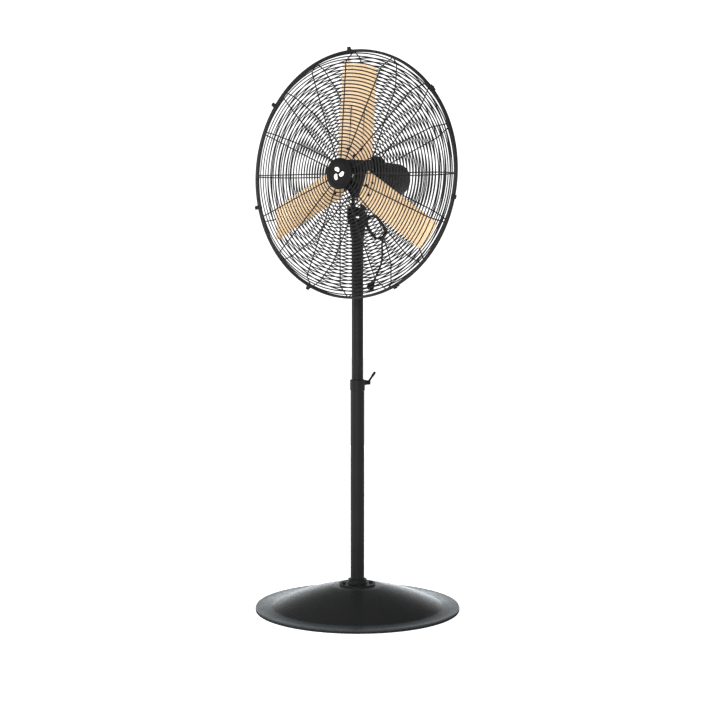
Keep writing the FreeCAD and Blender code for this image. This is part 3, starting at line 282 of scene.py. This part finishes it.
BLACK = (0.0085, 0.0087, 0.0088)
SOFT_BLACK = (0.0125, 0.0127, 0.013)
FINISH = {
    "black_paint": powder_coat("black_powder_coat", BLACK, SOFT_BLACK, 0.36, 0.16),
    "black_wire": powder_coat("black_wire_coat", (0.012, 0.012, 0.0125), (0.02, 0.02, 0.021), 0.3, 0.1),
    "blade_gold": lacquer("gold_lacquer"),
    "black_plastic": moulded("black_moulding", (0.006, 0.006, 0.006), (0.009, 0.009, 0.009), 0.46, 1600.0),
    "zinc": plated("bright_zinc", (0.55, 0.56, 0.58), (0.70, 0.71, 0.73), (1.0, 1.0, 6.0)),
    "steel": plated("ground_steel", (0.36, 0.36, 0.37), (0.50, 0.50, 0.51), (8.0, 1.0, 8.0)),
    "lamination": layered("stacked_laminations", (0.12, 0.12, 0.125), (0.34, 0.34, 0.35), 320.0, "Y"),
    "copper": layered("enamelled_windings", (0.38, 0.13, 0.05), (0.72, 0.33, 0.15), 260.0, "DIAGONAL"),
    "cast_iron": casting("rough_casting"),
    "rubber": moulded("matt_rubber", (0.010, 0.010, 0.010), (0.018, 0.018, 0.018), 0.62, 1100.0),
    "cord_jacket": moulded("soft_jacket", (0.008, 0.008, 0.008), (0.014, 0.014, 0.014), 0.46, 900.0),
    "nylon": moulded("natural_nylon", (0.62, 0.61, 0.56), (0.74, 0.73, 0.69), 0.38, 1300.0),
}

PAN_COAT = pan_coat("base_pan_coat")


def new_piece(name, verts, faces, body, slot, smooth=True):
    mesh = bpy.data.meshes.new(name)
    mesh.from_pydata([tuple(v) for v in verts], [], faces)
    mesh.polygons.foreach_set("use_smooth", [smooth] * len(mesh.polygons))
    mesh.materials.append(FINISH[slot])
    made = bpy.data.objects.new(name, mesh)
    bpy.context.scene.collection.objects.link(made)
    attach(made, body)
    return made


# ---------------------------------------------------------------- cord

CORD = 0.007
LEAD = [(0.052, 0.032, 1.436), (0.052, 0.032, 1.412), (0.057, 0.030, 1.395), (0.068, 0.027, 1.376)]
TAIL = [(0.096, 0.020, 1.349), (0.099, 0.026, 1.329), (0.091, 0.028, 1.311), (0.086, 0.025, 1.291),
        (0.088, 0.027, 1.264), (0.087, 0.026, 1.234), (0.080, 0.021, 1.202), (0.064, 0.009, 1.163)]
HANK_TOP = Vector((0.062, 0.007, 1.363))
HANK_FOOT = Vector((0.0785, 0.019, 1.333))
HANK_TURNS = 5
TURN_RADIUS = 0.0243
HALF_SPREAD = 0.0105
END_STEPS = 7
STEP_DEGREES = 30
RADIUS_SWAY = 0.0005
SWAY_PER_TURN = 2.4
SWAY_PER_END = 1.1
FOOT_EXTRA = 0.0008
TOP_EXTRA = -0.0003
GATHERED = 0.15
SHIFT_DOWN = 0.0014
SHIFT_ASIDE = 0.0013


def hank_turns():
    """The hank's turns, wound across its thickness, unequal in size and drawn together along one side."""
    along = HANK_FOOT - HANK_TOP
    length = along.length
    along.normalize()
    face = along.cross(SIDE).normalized()
    across = face.cross(along)
    last = HANK_TURNS * 2 * END_STEPS - 1
    points = []
    for turn in range(HANK_TURNS):
        shift = 1.0 if turn % 2 == 0 else -1.0
        for end in (0, 1):
            for step in range(END_STEPS):
                done = ((turn * 2 + end) * END_STEPS + step) / last
                angle = math.radians(STEP_DEGREES * step + 180 * end)
                radius = TURN_RADIUS + RADIUS_SWAY * math.sin(SWAY_PER_TURN * turn + SWAY_PER_END * end)
                radius += FOOT_EXTRA if end == 0 else TOP_EXTRA
                spread = HALF_SPREAD * (2 * done - 1) * (1 - GATHERED * (1 - math.cos(angle)))
                down = (length if end == 0 else 0.0) + radius * math.sin(angle) + SHIFT_DOWN * shift
                side = radius * math.cos(angle) + SHIFT_ASIDE * shift
                points.append(HANK_TOP + along * down + across * side + face * spread)
    return points


def make_cord():
    route = [Vector(p) for p in LEAD] + hank_turns() + [Vector(p) for p in TAIL]
    curve = bpy.data.curves.new("mains_cord", "CURVE")
    curve.dimensions = "3D"
    line = curve.splines.new("NURBS")
    line.points.add(len(route) - 1)
    for spot, point in zip(line.points, route):
        spot.co = (*point, 1.0)
    line.order_u = 3
    line.use_endpoint_u = True
    line.resolution_u = 4
    curve.bevel_depth = CORD / 2
    curve.bevel_resolution = 5
    curve.use_fill_caps = True
    curve.materials.append(FINISH["cord_jacket"])
    made = bpy.data.objects.new("mains_cord", curve)
    bpy.context.scene.collection.objects.link(made)
    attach(made, "head")
    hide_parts("cord_lead", "cord_hank", "cord_tail")
    return made


cord = make_cord()


# ---------------------------------------------------------------- cage wires

RIM_LOW, RIM_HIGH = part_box("front_rim")
AXIS_X = (RIM_LOW.x + RIM_HIGH.x) / 2
AXIS_Z = (RIM_LOW.z + RIM_HIGH.z) / 2
# Corners whose distances from the axis differ by more than this are on different rings.
RING_BREAK = 0.0012


def ring_sizes(node):
    """(ring radius, y, wire radius) of each ring of a CAD node, from its own corners."""
    count = len(NODES[node].data.vertices)
    corners = np.zeros(count * 3)
    NODES[node].data.vertices.foreach_get("co", corners)
    corners = corners.reshape(-1, 3)
    reach = np.hypot(corners[:, 0] - AXIS_X, corners[:, 2] - AXIS_Z)
    order = np.argsort(reach)
    breaks = np.flatnonzero(np.diff(reach[order]) > RING_BREAK) + 1
    sizes = []
    for members in np.split(order, breaks):
        radii, depths = reach[members], corners[members, 1]
        wire = (depths.max() - depths.min()) / 2
        sizes.append((radii.max() - wire, (depths.max() + depths.min()) / 2, wire))
    return sizes


def round_wires(name, node, around=200, section=10):
    """The rings of a CAD node as round wire, each ring closed on itself."""
    verts, faces = [], []
    for radius, depth, wire in ring_sizes(node):
        start = len(verts)
        for i in range(around):
            turn = 2 * math.pi * i / around
            out = (math.cos(turn), math.sin(turn))
            for j in range(section):
                lean = 2 * math.pi * j / section
                reach = radius + wire * math.cos(lean)
                verts.append((AXIS_X + reach * out[0], depth + wire * math.sin(lean),
                              AXIS_Z + reach * out[1]))
        for i in range(around):
            for j in range(section):
                a = start + i * section + j
                b = start + i * section + (j + 1) % section
                c = start + (i + 1) % around * section + (j + 1) % section
                d = start + (i + 1) % around * section + j
                faces.append((a, b, c, d))
    made = new_piece(name, verts, faces, BODY_OF[node], SLOT_OF[node])
    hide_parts(node)


round_wires("front_ring_wires", "front_grille_rings", 160, 8)
round_wires("rear_ring_wires", "rear_grille_rings", 160, 8)
round_wires("front_rim_wires", "front_rim")
round_wires("rear_rim_wires", "rear_rim")


# ---------------------------------------------------------------- badge

BADGE_LOW, BADGE_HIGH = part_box("badge_disc")
BADGE_CROWN = 0.0015
BADGE_BORDER = 0.008
BADGE_FLAT = (BADGE_HIGH.x - BADGE_LOW.x) / 2 - BADGE_BORDER
SIGN_START = 0.0055
SIGN_REACH = 0.0185
SIGN_SWEEP = 0.55
SIGN_SIDES = (-0.00025, 0.0002)
PETAL_HALF = math.radians(33)
PETAL_GAIN = 0.86
PETAL_OFFSET = 0.14
PETAL_BLUNTNESS = 0.7
PRESSED_RADIUS = 0.039
PRESSED_WIDTH = 0.0011
PRESSED_HEIGHT = 0.0009


def badge_face(radius):
    """y of the badge's crowned face at this distance from its centre."""
    return BADGE_LOW.y + BADGE_CROWN * radius / BADGE_FLAT


def printed_petals():
    """A plain three-petal fan sign on the badge."""
    verts, faces = [], []
    rows, columns = 14, 8
    for petal in range(3):
        start = len(verts)
        for side in SIGN_SIDES:
            for i in range(rows + 1):
                along = i / rows
                radius = SIGN_START + SIGN_REACH * along
                swell = math.sin(math.pi * min(along * PETAL_GAIN + PETAL_OFFSET, 1.0))
                half = PETAL_HALF * swell ** PETAL_BLUNTNESS
                middle = math.radians(90 + 120 * petal) + SIGN_SWEEP * along
                for j in range(columns + 1):
                    turn = middle + half * (2 * j / columns - 1)
                    verts.append((AXIS_X + radius * math.cos(turn), badge_face(radius) + side,
                                  AXIS_Z + radius * math.sin(turn)))
        layer = (rows + 1) * (columns + 1)

        def corner(level, i, j):
            return start + level * layer + i * (columns + 1) + j

        for i in range(rows):
            for j in range(columns):
                faces.append((corner(0, i, j), corner(0, i, j + 1),
                              corner(0, i + 1, j + 1), corner(0, i + 1, j)))
                faces.append((corner(1, i, j), corner(1, i + 1, j),
                              corner(1, i + 1, j + 1), corner(1, i, j + 1)))
        edge = [(i, 0) for i in range(rows)] + [(rows, j) for j in range(columns)]
        edge += [(rows - i, columns) for i in range(rows)] + [(0, columns - j) for j in range(columns)]
        for (i, j), (k, m) in zip(edge, edge[1:] + edge[:1]):
            faces.append((corner(0, i, j), corner(0, k, m), corner(1, k, m), corner(1, i, j)))
    made = new_piece("badge_fan_sign", verts, faces, "head", "black_plastic", smooth=False)
    made.data.materials[0] = printed("white_print")


def pressed_ring():
    """A low raised ring round the badge's sign."""
    verts, faces = [], []
    around, section = 96, 8
    for i in range(around):
        turn = 2 * math.pi * i / around
        for j in range(section):
            lean = 2 * math.pi * j / section
            reach = PRESSED_RADIUS + PRESSED_WIDTH * math.cos(lean)
            height = badge_face(PRESSED_RADIUS) + PRESSED_HEIGHT * math.sin(lean)
            verts.append((AXIS_X + reach * math.cos(turn), height, AXIS_Z + reach * math.sin(turn)))
            faces.append((i * section + j, i * section + (j + 1) % section,
                          (i + 1) % around * section + (j + 1) % section, (i + 1) % around * section + j))
    new_piece("badge_pressed_ring", verts, faces, "head", "black_plastic")


printed_petals()
pressed_ring()


# ---------------------------------------------------------------- CAD nodes that stay in sight

# Nodes that get no bevel, and the bevel widths of the others.
SHARP = {"stator_core", "rotor_core", "stator_windings"}
OTHER_EDGE = 0.0004
EDGE_ANGLE = math.radians(32)
WELD_GAP = 0.00001
EDGE = {"cord_tie": 0.0003, "plug_pins": 0.0004, "lock_handle": 0.0008, "terminal_box": 0.0015,
        "speed_knob": 0.0008, "tilt_bracket": 0.0008, "pole_head": 0.0008, "motor_foot": 0.0012,
        "rim_clips": 0.0004, "base_pan": 0.0006, "base_edge_trim": 0.0008, "base_ballast": 0.0015,
        "blade_rivets": 0.0007, "hub_spider": 0.0005}


def finish_cad(node):
    piece = NODES[node]
    mesh = piece.data
    if "custom_normal" in mesh.attributes:
        mesh.attributes.remove(mesh.attributes["custom_normal"])
    mesh.polygons.foreach_set("use_smooth", [True] * len(mesh.polygons))
    if "sharp_edge" in mesh.attributes:
        mesh.attributes.remove(mesh.attributes["sharp_edge"])
    mesh.materials.clear()
    mesh.materials.append(PAN_COAT if node == "base_pan" else FINISH[SLOT_OF[node]])
    weld = piece.modifiers.new("weld", "WELD")
    weld.merge_threshold = WELD_GAP
    if node in SHARP:
        return
    bevel = piece.modifiers.new("edges", "BEVEL")
    bevel.width = EDGE.get(node, OTHER_EDGE)
    bevel.segments = 2
    bevel.limit_method = "ANGLE"
    bevel.angle_limit = EDGE_ANGLE
    bevel.harden_normals = True
    bevel.use_clamp_overlap = True


for name, piece in NODES.items():
    if not piece.hide_render:
        finish_cad(name)


# ---------------------------------------------------------------- floor and light

FLOOR_HALF = 14
FLOOR_GAP = 0.0002
FLOOR_GLOW = 0.8
# The world's light by the height of the direction looked in.
HORIZON_ENDS = 0.20
OVERHEAD_STARTS = 0.46
HORIZON_LIGHT = 1.35
OVERHEAD_LIGHT = 0.22


def make_floor():
    mesh = bpy.data.meshes.new("studio_floor")
    corners = [(x * FLOOR_HALF, y * FLOOR_HALF, 0) for x, y in ((-1, -1), (1, -1), (1, 1), (-1, 1))]
    mesh.from_pydata(corners, [], [(0, 1, 2, 3)])
    floor = bpy.data.objects.new("studio_floor", mesh)
    bpy.context.scene.collection.objects.link(floor)
    floor.location.z = CAD_LOW.z - FLOOR_GAP
    paint = Paint("studio_white")
    paint.color(paint.noise(0.6), (0.90, 0.90, 0.90), (0.93, 0.93, 0.93))
    paint.rough(paint.noise(2.0), 0.75, 0.9)
    mesh.materials.append(paint.set(Specular_IOR_Level=0.1, Emission_Color=(1.0, 1.0, 1.0, 1.0),
                                    Emission_Strength=FLOOR_GLOW))


def softbox(name, place, aim, size, power, color=(1.0, 1.0, 1.0)):
    light = bpy.data.lights.new(name, "AREA")
    light.shape = "RECTANGLE"
    light.size, light.size_y = size
    light.energy = power
    light.color = color
    box = bpy.data.objects.new(name, light)
    bpy.context.scene.collection.objects.link(box)
    box.location = place
    box.rotation_euler = (Vector(aim) - Vector(place)).to_track_quat("-Z", "Y").to_euler()


def make_world():
    """A white room: bright below and round the horizon, dimmer overhead."""
    world = bpy.data.worlds.new("white_room")
    world.use_nodes = True
    tree = world.node_tree
    place = tree.nodes.new("ShaderNodeTexCoord")
    parts = tree.nodes.new("ShaderNodeSeparateXYZ")
    fall = tree.nodes.new("ShaderNodeMapRange")
    fall.interpolation_type = "SMOOTHSTEP"
    fall.inputs["From Min"].default_value = HORIZON_ENDS
    fall.inputs["From Max"].default_value = OVERHEAD_STARTS
    fall.inputs["To Min"].default_value = HORIZON_LIGHT
    fall.inputs["To Max"].default_value = OVERHEAD_LIGHT
    tree.links.new(place.outputs["Generated"], parts.inputs["Vector"])
    tree.links.new(parts.outputs["Z"], fall.inputs["Value"])
    back = tree.nodes["Background"]
    back.inputs["Color"].default_value = (1.0, 1.0, 1.0, 1.0)
    tree.links.new(fall.outputs["Result"], back.inputs["Strength"])
    bpy.context.scene.world = world


make_floor()
softbox("key", (1.7, -4.3, 1.9), (0.0, 0.0, 1.4), (2.4, 1.8), 182.0)
softbox("left", (-4.0, -2.6, 1.7), (0.0, 0.0, 1.3), (1.6, 1.8), 125.0)
softbox("low_back", AHEAD * 5.0 + Vector((0.0, 0.0, 0.3)), (0.0, 0.0, 0.1), (6.5, 0.5), 16.0,
        (0.84, 0.93, 1.0))
make_world()
bpy.context.scene.view_settings.view_transform = "Standard"
